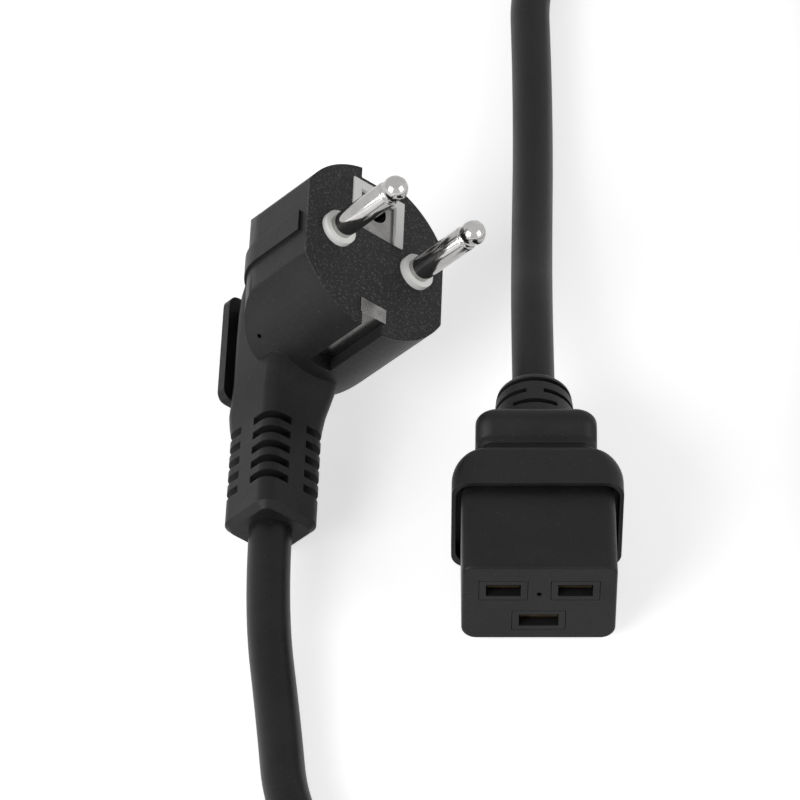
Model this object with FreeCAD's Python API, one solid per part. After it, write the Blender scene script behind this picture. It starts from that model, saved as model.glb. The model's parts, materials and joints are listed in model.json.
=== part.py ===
"""C19 cord set: a moulded C19 connector, its cord and an angled earthed plug.

The connector lies along Y with its face toward -Y and its cord leaving toward
+Y.  The plug is built in a frame of its own and then laid down beside it.
"""

import FreeCAD, Part
import math
import os

Vector = FreeCAD.Vector

# ---- shared sizes ----------------------------------------------------------
cord_diameter = 8.0
cord_sides = 16               # of the cord's section, which is 8 mm across its flats
core_sides = 8
core_diameter = 2.7
core_spread = 1.72            # from the cord's centre to each core's centre
conductor_diameter = 1.8
conductor_bared = 0.5         # of conductor seen inside the insulation's end
crimp_wall = 0.75
fit = 0.1                     # clearance between parts that slide together

# ---- connector: engagement block ------------------------------------------
block_width = 28.0
block_height = 19.4
block_top_radius = 2.0
block_bottom_radius = 2.8
block_edge_radius = 0.6
block_exposed = 19.0
block_seated = 6.0            # length held inside the hood
block_wall = 2.4
block_front_wall = 3.4
cavity_radius = 1.5

# ---- connector: slots and contacts ----------------------------------------
pole_spacing = 13.0
pole_rise = 3.4               # of the two live slots above the block's middle
earth_drop = 8.0              # of the earth slot below the live slots
slot_height = 3.0
pole_slot_width = 6.3
earth_slot_width = 7.2
slot_depth = 1.6
chimney_margin_x = 1.3
chimney_margin_z = 1.05
chimney_wall = 0.75
seal_thickness = 2.0          # of the plate that closes the contact rooms
vent_diameter = 1.0
vent_drop = 1.0               # of the vent below the live slots' middle
leaf_thickness = 0.45
leaf_mouth = 2.5
leaf_pinch = 1.5
leaf_body = 2.4
leaf_length = 13.0
leaf_start = 2.2
crimp_length = 6.0
core_straight = 2.0           # of each core behind the block before it bends
core_gather = 9.0             # length over which the cores come together

# ---- connector: hood, grip and strain relief -------------------------------
hood_proud = 1.7
hood_straight = 3.0
hood_gap = 0.9                # open groove between hood and block
hood_gap_depth = 3.0
shoulder_length = 6.5
grip_radius = 3.4
neck_width = 22.4
scoop_depth = 2.8
scoop_length = 9.0
scoop_setback = 3.2           # of the scoop's middle behind the shoulders
lip_length = 2.8
lip_round = 2.3
relief_length = 13.4
relief_base_radius = 8.0
relief_end_radius = 7.2
relief_end_round = 2.6
groove_setback = 2.3          # of the first groove from the relief's end
groove_width = 1.1
groove_pitch = 3.0
groove_bridge = 3.2
groove_core_radius = 5.4

# ---- plug: head -------------------------------------------------------------
head_radius = 18.5
head_half_width = 16.4        # to the flats at either side
head_depth = 24.0
head_flat_depth = 19.0        # how far back the side flats reach
head_side_round = 9.0
head_top_round = 11.0
head_bottom_round = 4.0
rib_height = 4.6
rib_proud = 0.55
rib_start = 2.2
rib_z = -0.3
gate_place = (-11.2, 19.5, -14.9)    # of the small hole where the head was filled
gate_diameter = 0.9
gate_depth = 1.6
notch_width = 8.4             # of the upper earth notch
notch_floor = 15.6            # height of both notch floors above the pin line
notch_depth = 15.0
lower_notch_width = 5.0

# ---- plug: grip and strain relief -------------------------------------------
grip_axis = 27.0              # of the cord behind the plug's face
grip_form = [                 # height, half width, front and back behind the face
    (9.0, 8.0, 13.0, 29.0),
    (2.0, 8.6, 13.0, 31.0),
    (-8.0, 8.6, 15.0, 31.6),
    (-18.0, 8.0, 18.0, 32.4),
    (-24.0, 7.2, 19.7, 34.2),
]
relief_top = -28.5
relief_bottom = -50.0
relief_side = 13.6
relief_corner = 2.8
ladder_rows = 5
ladder_pitch = 3.35
ladder_slot = 1.7
ladder_bridge = 3.6
ladder_core_radius = 5.2
collar_chamfer = 1.2
pull_plate_back = 35.6
pull_plate_thickness = 2.6
pull_plate_half_width = 8.4
pull_plate_top = 4.5
pull_plate_bottom = -20.0
pull_plate_radius = 2.2
pull_stem_half_width = 5.6
pull_stem_drop = 2.0          # of the stem's top below the plate's top
pull_plate_chamfer = 0.7

# ---- plug: pins, bridge and earth -------------------------------------------
pin_diameter = 4.8
pin_length = 19.0
pin_spacing = 19.0
pin_neck_diameter = 4.3
pin_tip_length = 4.4
pin_shank = 11.0              # length of pin held inside the plug
pin_shank_diameter = 4.4
collar_diameter = 7.0
collar_proud = 1.3
bridge_front = 3.0
bridge_thickness = 4.0
bridge_margin = 2.2           # of the bridge beyond the collars at either side
bridge_rim = 0.5              # of the bridge above and below the collars
earth_rise = 10.0             # of the earth socket above the pin line
frame_width = 12.4
frame_wall = 1.9
frame_top = 14.7
frame_bottom = 3.9
frame_proud = 0.3
strap_thickness = 0.6
strap_width = 8.0
strap_set_back = 0.5          # of the earth plate behind the plug's face
strap_bar_width = 6.0
clip_width = 6.0
clip_drop = 3.2
clip_proud = 0.2              # of the clip before the plug's face
earth_plate_rim = 0.4         # of the earth plate inside its frame's floor
earth_tab_drop = 4.0          # of the strap's crimp below the pin line
sleeve_bore = 4.9
sleeve_wall = 0.35
sleeve_length = 15.0
sleeve_slit = 0.8
plug_crimp_length = 5.0

# ---- how the plug lies ------------------------------------------------------
plug_rise = 49.0              # degrees of the pins above the floor
plug_descent = 7.0            # degrees by which the grip runs down to its cord
plug_yaw = 2.0                # degrees of the whole plug about the vertical
plug_place = (-29.6, 40.8)    # of the middle of the plug's face, in plan


def box(x_min, x_max, y_min, y_max, z_min, z_max):
    """Return a box between the given limits."""
    corner = Vector(x_min, y_min, z_min)
    return Part.makeBox(x_max - x_min, y_max - y_min, z_max - z_min, corner)


def cylinder(radius, start, end):
    """Return a cylinder of the given radius between two points."""
    axis = end - start
    return Part.makeCylinder(radius, axis.Length, start, axis)


def rounded_outline(width, height, radii):
    """Return a closed 2-D outline as a list of edges in the XY plane.

    radii holds the corner radii, anticlockwise from the right-hand top corner.
    """
    half_w = width / 2
    half_h = height / 2
    signs = [(1, 1), (-1, 1), (-1, -1), (1, -1)]
    centres = [
        Vector(sx * (half_w - r), sy * (half_h - r), 0)
        for (sx, sy), r in zip(signs, radii)
    ]
    edges = []
    for index, centre in enumerate(centres):
        radius = radii[index]
        start_angle = 90.0 * index
        circle = Part.Circle(centre, Vector(0, 0, 1), radius)
        arc = Part.Arc(
            circle,
            math.radians(start_angle),
            math.radians(start_angle + 90),
        )
        edges.append(arc.toShape())
        following = (index + 1) % 4
        turn = math.radians(start_angle + 90)
        direction = Vector(math.cos(turn), math.sin(turn), 0)
        line_start = centre + direction * radius
        line_end = centres[following] + direction * radii[following]
        edges.append(Part.makeLine(line_start, line_end))
    return edges


def facing_wire(width, height, radii, y, middle_z):
    """Return a rounded rectangle that faces along Y."""
    wire = Part.Wire(Part.__sortEdges__(rounded_outline(width, height, radii)))
    wire.rotate(Vector(0, 0, 0), Vector(1, 0, 0), 90)
    wire.translate(Vector(0, y, middle_z))
    return wire


def facing_block(width, height, radii, y_start, y_end, middle_z):
    """Return a bar with a rounded rectangular section along Y."""
    wire = facing_wire(width, height, radii, y_start, middle_z)
    return Part.Face(wire).extrude(Vector(0, y_end - y_start, 0))


def turned(profile, origin, axis):
    """Return a solid of revolution from (radius, distance) corner points."""
    side = Vector(1, 0, 0) if abs(axis.x) < 0.5 else Vector(0, 0, 1)
    corners = [origin + side * r + axis * d for r, d in profile]
    face = Part.Face(Part.makePolygon(corners + corners[:1]))
    return face.revolve(origin, axis, 360)


def bend_runs(points, share=0.45):
    """Yield the pieces of a path of straight runs joined by tangent arcs.

    Each piece is (start, end, centre, axis, angle), with no centre for a
    straight run.  An arc takes the given share of the shorter of its runs.
    """
    cursor = points[0]
    for before, corner, after in zip(points, points[1:], points[2:]):
        back = before - corner
        ahead = after - corner
        reach = share * min(back.Length, ahead.Length)
        back.normalize()
        ahead.normalize()
        turn = math.pi - back.getAngle(ahead)
        radius = reach / math.tan(turn / 2)
        start = corner + back * reach
        end = corner + ahead * reach
        inward = back + ahead
        inward.normalize()
        centre = corner + inward * (radius / math.cos(turn / 2))
        axis = (start - centre).cross(end - centre)
        yield cursor, start, None, None, 0.0
        yield start, end, centre, axis, math.degrees(turn)
        cursor = end
    yield cursor, points[-1], None, None, 0.0


def section(diameter, sides, centre, heading, up):
    """Return a many-sided disc across heading, with one side facing up."""
    turn = FreeCAD.Rotation(heading, 360 / sides)
    spoke = FreeCAD.Rotation(heading, 180 / sides).multVec(up)
    spoke.normalize()
    spoke *= diameter / 2 / math.cos(math.pi / sides)
    corners = []
    for _ in range(sides):
        corners.append(centre + spoke)
        spoke = turn.multVec(spoke)
    return Part.Face(Part.makePolygon(corners + corners[:1]))


def tube(points, diameter, sides):
    """Return (solid, radii, length) of a many-sided bar along points."""
    pieces = []
    radii = []
    length = 0.0
    first = points[1] - points[0]
    up = first.cross(Vector(0, 0, 1)).cross(first)
    if up.Length < 1e-3 * first.Length ** 2:
        up = Vector(0, 1, 0)
    for start, end, centre, axis, angle in bend_runs(points):
        if centre is None:
            run = end - start
            pieces.append(section(diameter, sides, start, run, up).extrude(run))
            length += run.Length
            continue
        heading = axis.cross(start - centre)
        disc = section(diameter, sides, start, heading, up)
        pieces.append(disc.revolve(centre, axis, angle))
        up = FreeCAD.Rotation(axis, angle).multVec(up)
        radii.append((start - centre).Length)
        length += radii[-1] * math.radians(angle)
    return pieces[0].multiFuse(pieces[1:]), radii, length


# ---- connector --------------------------------------------------------------
hood_width = block_width + 2 * hood_proud
hood_height = block_height + 2 * hood_proud
scoop_middle = hood_straight + shoulder_length + scoop_setback
grip_length = scoop_middle + scoop_length / 2 + lip_length
connector_length = block_exposed + grip_length + relief_length
face_y = -connector_length / 2
hood_y = face_y + block_exposed
lip_end_y = hood_y + grip_length
exit_y = face_y + connector_length
axis_z = hood_height / 2
block_rear_y = hood_y + block_seated
block_radii = [block_top_radius, block_top_radius, block_bottom_radius, block_bottom_radius]
pole_z = axis_z + pole_rise
earth_z = pole_z - earth_drop
poles = {
    "line": (-pole_spacing / 2, pole_z, pole_slot_width),
    "neutral": (pole_spacing / 2, pole_z, pole_slot_width),
    "earth": (0.0, earth_z, earth_slot_width),
}


def core_places():
    """Return the offset of each core from the cord's centre."""
    angles = {"line": 150, "neutral": 30, "earth": 270}
    return {
        name: (
            core_spread * math.cos(math.radians(angle)),
            core_spread * math.sin(math.radians(angle)),
        )
        for name, angle in angles.items()
    }


def block_outer():
    """Return the block's full outer shape."""
    block = facing_block(
        block_width, block_height, block_radii, face_y, block_rear_y, axis_z
    )
    front_edges = [
        edge
        for edge in block.Edges
        if edge.BoundBox.YMax < face_y + 0.01
    ]
    return block.makeFillet(block_edge_radius, front_edges)


def chimney(slot_width, middle_x, middle_z, grow, y_start, y_end):
    """Return the rectangular spigot round one slot, grown by a clearance."""
    half_w = slot_width / 2 + chimney_margin_x + grow
    half_h = slot_height / 2 + chimney_margin_z + grow
    return box(
        middle_x - half_w, middle_x + half_w,
        y_start, y_end,
        middle_z - half_h, middle_z + half_h,
    )


def cavity(grow, y_start, y_end):
    """Return the room inside the block behind its front wall."""
    width = block_width - 2 * block_wall + 2 * grow
    height = block_height - 2 * block_wall + 2 * grow
    return facing_block(width, height, [cavity_radius + grow] * 4, y_start, y_end, axis_z)


def engagement_block():
    """Return the outer block: a shell with a window for each chimney."""
    block = block_outer()
    front_y = face_y + block_front_wall
    block = block.cut(cavity(0, front_y, block_rear_y + 1))
    for middle_x, middle_z, slot_width in poles.values():
        window = chimney(slot_width, middle_x, middle_z, 0, face_y - 1, front_y + 1)
        block = block.cut(window)
    vent_axis = Vector(0, face_y - 1, pole_z - vent_drop)
    vent = cylinder(vent_diameter / 2, vent_axis, vent_axis + Vector(0, 1 + slot_depth, 0))
    return block.cut(vent)


def contact_carrier():
    """Return the inner moulding: three chimneys on one body."""
    front_y = face_y + block_front_wall
    rear_y = block_rear_y - seal_thickness
    body = cavity(-fit, front_y + fit, rear_y)
    for middle_x, middle_z, slot_width in poles.values():
        body = body.fuse(
            chimney(slot_width, middle_x, middle_z, -fit, face_y, front_y + 1)
        )
    for middle_x, middle_z, slot_width in poles.values():
        half_w = slot_width / 2
        half_h = slot_height / 2
        body = body.cut(box(
            middle_x - half_w, middle_x + half_w,
            face_y - 1, face_y + slot_depth + 1,
            middle_z - half_h, middle_z + half_h,
        ))
        room_w = half_w + chimney_margin_x - chimney_wall
        room_h = half_h + chimney_margin_z - chimney_wall
        body = body.cut(box(
            middle_x - room_w, middle_x + room_w,
            face_y + slot_depth, rear_y + 1,
            middle_z - room_h, middle_z + room_h,
        ))
    return body.removeSplitter()


def carrier_seal(cores):
    """Return the plate behind the carrier, with a hole for each core."""
    plate = cavity(-fit, block_rear_y - seal_thickness, block_rear_y)
    for core in cores:
        plate = plate.cut(core)
    return plate


def contact(middle_x, middle_z, slot_width):
    """Return a folded receptacle: two sprung leaves and a crimp barrel."""
    start = face_y + leaf_start
    end = start + leaf_length
    path = [
        (start, leaf_mouth / 2),
        (start + 0.25 * leaf_length, leaf_pinch / 2),
        (start + 0.5 * leaf_length, leaf_body / 2),
        (end, leaf_body / 2),
    ]
    inner = [Vector(0, y, z) for y, z in path]
    outer = [Vector(0, y, z + leaf_thickness) for y, z in path]
    outer[-1].y += leaf_thickness
    lower_inner = [Vector(0, p.y, -p.z) for p in inner]
    lower_outer = [Vector(0, p.y, -p.z) for p in outer]
    outline = outer + lower_outer[::-1] + lower_inner + inner[::-1]
    outline.append(outline[0])
    width = slot_width - 2 * fit
    leaves = Part.Face(Part.makePolygon(outline)).extrude(Vector(width, 0, 0))
    leaves.translate(Vector(middle_x - width / 2, 0, middle_z))
    barrel_start = Vector(middle_x, end, middle_z)
    barrel_end = barrel_start + Vector(0, leaf_thickness + crimp_length, 0)
    barrel_radius = conductor_diameter / 2 + crimp_wall
    barrel = cylinder(barrel_radius, barrel_start, barrel_end)
    bore_start = barrel_start + Vector(0, leaf_thickness, 0)
    bore = cylinder(conductor_diameter / 2, bore_start, barrel_end)
    return leaves.fuse(barrel).removeSplitter().cut(bore)


def connector_core(name):
    """Return one insulated core with its bared end in the crimp."""
    middle_x, middle_z, _ = poles[name]
    offset_x, offset_z = core_places()[name]
    barrel_start = face_y + leaf_start + leaf_length + leaf_thickness
    barrel_end = barrel_start + crimp_length
    bend_start = block_rear_y + core_straight
    bend_end = bend_start + core_gather
    points = [
        Vector(middle_x, barrel_end, middle_z),
        Vector(middle_x, bend_start, middle_z),
        Vector(offset_x, bend_end, axis_z + offset_z),
        Vector(offset_x, exit_y, axis_z + offset_z),
    ]
    insulation, _, _ = tube(points, core_diameter, core_sides)
    conductor = cylinder(
        conductor_diameter / 2,
        Vector(middle_x, barrel_start, middle_z),
        Vector(middle_x, barrel_end + conductor_bared, middle_z),
    )
    return insulation.fuse(conductor).removeSplitter()


def grip_size(distance):
    """Return (width, height) of the grip at a distance behind the hood's front."""
    share = (distance - hood_straight) / shoulder_length
    share = min(1.0, max(0.0, share))
    width = neck_width + (hood_width - neck_width) * math.sqrt(1 - share ** 2)
    away = min(1.0, abs(distance - scoop_middle) / (scoop_length / 2))
    scoop = scoop_depth * (1 + math.cos(math.pi * away)) / 2
    rounding = max(0.0, distance - (grip_length - lip_round)) / lip_round
    inset = lip_round * (1 - math.sqrt(1 - min(1.0, rounding) ** 2))
    return width - 2 * inset, hood_height - 2 * scoop - 2 * inset


def grip_stations():
    """Return the distances behind the hood's front where the grip is lofted."""
    shoulder = [
        hood_straight + shoulder_length * math.sin(math.radians(turn))
        for turn in (0, 22, 42, 60, 75, 90)
    ]
    scoop = [
        scoop_middle + scoop_length / 2 * share
        for share in (-0.3, 0.0, 0.3, 0.6, 1.0)
    ]
    lip = [
        grip_length - lip_round + lip_round * math.sin(math.radians(turn))
        for turn in (0, 40, 70, 90)
    ]
    return [0.0, hood_straight / 2] + shoulder + scoop + lip


def strain_relief(start_y, end_y, base_radius, end_radius):
    """Return the tapered relief with its staggered ring grooves."""
    overlap = 2.0
    end_inset = relief_end_round
    profile = [
        (0, -overlap),
        (base_radius, -overlap),
        (base_radius, 0),
    ]
    for turn in (0, 25, 50, 75):
        rounding = math.radians(turn)
        profile.append((
            end_radius - end_inset * (1 - math.cos(rounding)),
            end_y - start_y - end_inset * (1 - math.sin(rounding)),
        ))
    profile += [(end_radius - end_inset, end_y - start_y), (0, end_y - start_y)]
    origin = Vector(0, start_y, axis_z)
    body = turned(profile, origin, Vector(0, 1, 0))
    groove_y = end_y - groove_setback - groove_width
    row = 0
    while groove_y > start_y:
        ring = cylinder(
            base_radius + 1,
            Vector(0, groove_y, axis_z),
            Vector(0, groove_y + groove_width, axis_z),
        )
        core_y = Vector(0, groove_y - 1, axis_z)
        ring = ring.cut(
            cylinder(groove_core_radius, core_y, core_y + Vector(0, groove_width + 2, 0))
        )
        if row > 0:
            half = groove_bridge / 2
            reach = base_radius + 2
            y_min, y_max = groove_y - 1, groove_y + groove_width + 1
            bars = box(-half, half, y_min, y_max, axis_z - reach, axis_z + reach).fuse(
                box(-reach, reach, y_min, y_max, axis_z - half, axis_z + half)
            )
            bars.rotate(Vector(0, 0, axis_z), Vector(0, 1, 0), 45 * ((row + 1) % 2))
            ring = ring.cut(bars)
        body = body.cut(ring)
        groove_y -= groove_pitch
        row += 1
    return body


def connector_overmould(inner_pieces):
    """Return the soft moulding: hood, finger scoop, lip and strain relief."""
    wires = [
        facing_wire(*grip_size(station), [grip_radius] * 4, hood_y + station, axis_z)
        for station in grip_stations()
    ]
    body = Part.makeLoft(wires, True, True)
    half = hood_width
    for z_min, z_max in ((-half, 0), (hood_height, hood_height + half)):
        body = body.cut(box(-half, half, hood_y - 1, lip_end_y + 1, z_min, z_max))
    relief = strain_relief(lip_end_y, exit_y, relief_base_radius, relief_end_radius)
    body = body.fuse(relief)
    recess = facing_block(
        block_width + 2 * hood_gap,
        block_height + 2 * hood_gap,
        [radius + hood_gap for radius in block_radii],
        hood_y - 1, hood_y + hood_gap_depth, axis_z,
    )
    seat = facing_block(
        block_width, block_height, block_radii, hood_y - 1, block_rear_y, axis_z
    )
    body = body.cut(recess.fuse(seat))
    for piece in inner_pieces:
        body = body.cut(piece)
    return body


def connector_pieces():
    """Return every piece of the connector by node name."""
    pieces = {
        "engagement_block": engagement_block(),
        "contact_carrier": contact_carrier(),
    }
    cores = {}
    for name, place in poles.items():
        pieces["contact_" + name] = contact(*place)
        cores["connector_core_" + name] = connector_core(name)
    pieces.update(cores)
    pieces["carrier_seal"] = carrier_seal(cores.values())
    pieces["connector_overmould"] = connector_overmould(cores.values())
    return pieces


# ---- plug, in its own frame: face at y = 0, pins toward -Y, grip toward -Z ---
def lying_block(half_width, y_min, y_max, radius, z_start, z_end):
    """Return a bar along Z with a rounded rectangular section."""
    outline = rounded_outline(2 * half_width, y_max - y_min, [radius] * 4)
    wire = Part.Wire(Part.__sortEdges__(outline))
    wire.translate(Vector(0, (y_min + y_max) / 2, z_start))
    return Part.Face(wire).extrude(Vector(0, 0, z_end - z_start))


def head_plan(half_width, straight, rounding):
    """Return the face of a bar's plan: square in front, rounded off behind."""
    slant = rounding * math.sqrt(0.5)
    rear = straight + rounding
    inset = half_width - rounding
    return Part.Face(Part.Wire([
        Part.makeLine(Vector(-half_width, 0, 0), Vector(half_width, 0, 0)),
        Part.makeLine(Vector(half_width, 0, 0), Vector(half_width, straight, 0)),
        Part.Arc(
            Vector(half_width, straight, 0),
            Vector(inset + slant, straight + slant, 0),
            Vector(inset, rear, 0),
        ).toShape(),
        Part.makeLine(Vector(inset, rear, 0), Vector(-inset, rear, 0)),
        Part.Arc(
            Vector(-inset, rear, 0),
            Vector(-inset - slant, straight + slant, 0),
            Vector(-half_width, straight, 0),
        ).toShape(),
        Part.makeLine(Vector(-half_width, straight, 0), Vector(-half_width, 0, 0)),
    ]))


def side_rib():
    """Return the low band that runs round the head's sides and back."""
    rounding = head_side_round + rib_proud
    plan = head_plan(
        head_half_width + rib_proud, head_flat_depth - head_side_round / 2, rounding
    )
    plan.translate(Vector(0, 0, rib_z - rib_height / 2))
    band = plan.extrude(Vector(0, 0, rib_height))
    reach = head_half_width + 1
    return band.cut(box(-reach, reach, -1, rib_start, -reach, reach))


def plug_head():
    """Return the round head: a flatted disc rounded off at the back."""
    disc = cylinder(head_radius, Vector(0, 0, 0), Vector(0, head_depth, 0))
    wide = head_half_width
    tall = head_radius
    deep = head_depth
    top = head_top_round
    low = head_bottom_round
    side = head_side_round
    slant = math.sqrt(0.5)
    side_wire = Part.Wire([
        Part.makeLine(Vector(0, 0, -tall), Vector(0, 0, tall)),
        Part.makeLine(Vector(0, 0, tall), Vector(0, deep - top, tall)),
        Part.Arc(
            Vector(0, deep - top, tall),
            Vector(0, deep - top + top * slant, tall - top + top * slant),
            Vector(0, deep, tall - top),
        ).toShape(),
        Part.makeLine(Vector(0, deep, tall - top), Vector(0, deep, low - tall)),
        Part.Arc(
            Vector(0, deep, low - tall),
            Vector(0, deep - low + low * slant, low - tall - low * slant),
            Vector(0, deep - low, -tall),
        ).toShape(),
        Part.makeLine(Vector(0, deep - low, -tall), Vector(0, 0, -tall)),
    ])
    side_form = Part.Face(side_wire).extrude(Vector(2 * wide, 0, 0))
    side_form.translate(Vector(-wide, 0, 0))
    plan = head_plan(wide, head_flat_depth - side / 2, side)
    plan.translate(Vector(0, 0, -tall))
    plan_form = plan.extrude(Vector(0, 0, 2 * tall))
    return disc.common(side_form).common(plan_form)


def softened(stations):
    """Return stations with one more between each pair, on a smooth line."""
    padded = stations[:1] + stations + stations[-1:]
    result = []
    for before, here, there, after in zip(padded, padded[1:], padded[2:], padded[3:]):
        result.append(here)
        result.append(tuple(
            (9 * (b + c) - a - d) / 16 for a, b, c, d in zip(before, here, there, after)
        ))
    return result + stations[-1:]


def plug_grip():
    """Return the lofted grip from the head down to the strain relief."""
    half = relief_side / 2
    end = (relief_top, half, grip_axis - half, grip_axis + half)
    wires = []
    for z, half_width, front, back in softened(grip_form + [end]):
        outline = rounded_outline(2 * half_width, back - front, [relief_corner] * 4)
        wire = Part.Wire(Part.__sortEdges__(outline))
        wire.translate(Vector(0, (front + back) / 2, z))
        wires.append(wire)
    return Part.makeLoft(wires, True, True)


def ladder_relief():
    """Return the square strain relief with five rows of corner slots."""
    half = relief_side / 2
    body = lying_block(
        half, grip_axis - half, grip_axis + half, relief_corner, relief_bottom, relief_top
    )
    end_edges = [e for e in body.Edges if e.BoundBox.ZMax < relief_bottom + 0.01]
    body = body.makeChamfer(collar_chamfer, end_edges)
    reach = half + 1
    for row in range(ladder_rows):
        top = relief_top - row * ladder_pitch
        bottom = top - ladder_slot
        slot = box(-reach, reach, grip_axis - reach, grip_axis + reach, bottom, top)
        bridge = ladder_bridge / 2
        keep = box(
            -bridge, bridge, grip_axis - reach, grip_axis + reach, bottom, top
        ).fuse(box(
            -reach, reach, grip_axis - bridge, grip_axis + bridge, bottom, top
        )).fuse(cylinder(
            ladder_core_radius, Vector(0, grip_axis, bottom), Vector(0, grip_axis, top)
        ))
        body = body.cut(slot.cut(keep))
    return body


def pull_plate():
    """Return the finger plate on the plug's back and the stem that holds it."""
    plate_front = pull_plate_back - pull_plate_thickness
    height = pull_plate_top - pull_plate_bottom
    middle_z = (pull_plate_top + pull_plate_bottom) / 2
    plate = facing_block(
        2 * pull_plate_half_width, height, [pull_plate_radius] * 4,
        plate_front, pull_plate_back, middle_z,
    )
    rim = [e for e in plate.Edges if e.BoundBox.YMin > pull_plate_back - 0.01]
    plate = plate.makeChamfer(pull_plate_chamfer, rim)
    stem = box(
        -pull_stem_half_width, pull_stem_half_width,
        grip_axis - 2, plate_front + 0.5,
        pull_plate_bottom, pull_plate_top - pull_stem_drop,
    )
    return plate.fuse(stem)


def pin(middle_x):
    """Return one contact pin with its rounded tip, shank and crimp."""
    radius = pin_diameter / 2
    neck = pin_neck_diameter / 2
    profile = [(0, 0)]
    for turn in (66, 44, 22, 0, -20):
        angle = math.radians(turn)
        profile.append((radius * math.cos(angle), radius - radius * math.sin(angle)))
    profile += [
        (neck, profile[-1][1] + radius - neck), (neck, pin_tip_length), (0, pin_tip_length)
    ]
    tip = turned(profile, Vector(middle_x, -pin_length, 0), Vector(0, 1, 0))
    root = Vector(middle_x, -collar_proud, 0)
    shaft = cylinder(radius, Vector(middle_x, pin_tip_length - pin_length, 0), root)
    shank = cylinder(pin_shank_diameter / 2, root, Vector(middle_x, pin_shank, 0))
    crimp_end = pin_shank + plug_crimp_length
    crimp = cylinder(
        conductor_diameter / 2 + crimp_wall,
        Vector(middle_x, pin_shank, 0), Vector(middle_x, crimp_end, 0),
    )
    bore = cylinder(
        conductor_diameter / 2, Vector(middle_x, pin_shank, 0), Vector(middle_x, crimp_end, 0)
    )
    return shaft.fuse(shank).fuse(tip).removeSplitter().fuse(crimp).cut(bore)


def earth_opening(grow):
    """Return the room for the earth plate inside its frame."""
    half = frame_width / 2 - frame_wall + grow
    return box(
        -half, half, -frame_proud - 1, bridge_front + bridge_thickness + 1,
        frame_bottom, frame_top - frame_wall + grow,
    )


def pin_bridge():
    """Return the stiff insert: a plate, two pin collars and the earth frame."""
    rear = bridge_front + bridge_thickness
    half_w = pin_spacing / 2 + collar_diameter / 2 + bridge_margin
    half_h = collar_diameter / 2 + bridge_rim
    body = box(-half_w, half_w, bridge_front, rear, -half_h, half_h)
    half_frame = frame_width / 2
    body = body.fuse(
        box(-half_frame, half_frame, -frame_proud, rear, frame_bottom, frame_top)
    )
    body = body.cut(earth_opening(0))
    for side in (-1, 1):
        middle_x = side * pin_spacing / 2
        start = Vector(middle_x, -collar_proud, 0)
        collar = cylinder(collar_diameter / 2, start, Vector(middle_x, bridge_front + 0.5, 0))
        body = body.fuse(collar)
    for side in (-1, 1):
        middle_x = side * pin_spacing / 2
        hole_start = Vector(middle_x, -collar_proud - 1, 0)
        hole_end = Vector(middle_x, rear + 1, 0)
        body = body.cut(cylinder(pin_shank_diameter / 2, hole_start, hole_end))
    return body.removeSplitter().cut(earth_strap())


def earth_strap():
    """Return the bent earth strap: upper blade, pierced plate, bar and clip."""
    thick = strap_thickness
    front = strap_set_back
    half = strap_width / 2
    plate_bottom = frame_bottom + earth_plate_rim
    plate_half = frame_width / 2 - frame_wall - fit
    frame_ceiling = frame_top - frame_wall
    plate = box(
        -plate_half, plate_half, front, front + thick, plate_bottom, frame_ceiling - fit
    )
    neck_half = plate_half - earth_plate_rim
    neck = box(
        -neck_half, neck_half, front, front + thick, frame_ceiling - 1, notch_floor + thick
    )
    blade = box(-half, half, front, notch_depth - 1, notch_floor, notch_floor + thick)
    riser_y = notch_depth - 1
    riser = box(
        -strap_bar_width / 2, strap_bar_width / 2,
        riser_y, riser_y + thick,
        -notch_floor, notch_floor + thick,
    )
    leg = box(
        -clip_width / 2, clip_width / 2,
        front, riser_y + thick,
        -notch_floor, -notch_floor + thick,
    )
    clip = box(
        -clip_width / 2, clip_width / 2,
        -clip_proud, front,
        -notch_floor, -notch_floor + clip_drop,
    )
    strap = plate.fuse(neck).fuse(blade).fuse(riser).fuse(leg).fuse(clip)
    bore_start = Vector(0, -1, earth_rise)
    sleeve_outer = sleeve_bore / 2 + sleeve_wall
    strap = strap.cut(cylinder(sleeve_outer, bore_start, bore_start + Vector(0, riser_y + 4, 0)))
    tab_start = Vector(0, riser_y + thick, -earth_tab_drop)
    tab_end = tab_start + Vector(0, plug_crimp_length, 0)
    tab = cylinder(conductor_diameter / 2 + crimp_wall, tab_start, tab_end)
    bore = cylinder(conductor_diameter / 2, tab_start, tab_end)
    return strap.removeSplitter().fuse(tab).cut(bore)


def earth_sleeve():
    """Return the slit tube that grips the socket's earth pin."""
    start = Vector(0, strap_set_back, earth_rise)
    end = start + Vector(0, sleeve_length, 0)
    outer = sleeve_bore / 2 + sleeve_wall
    ring = cylinder(outer, start, end).cut(cylinder(sleeve_bore / 2, start, end))
    slit = box(
        -sleeve_slit / 2, sleeve_slit / 2,
        strap_set_back + 2, strap_set_back + sleeve_length + 1,
        earth_rise, earth_rise + outer + 1,
    )
    return ring.cut(slit)


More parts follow.
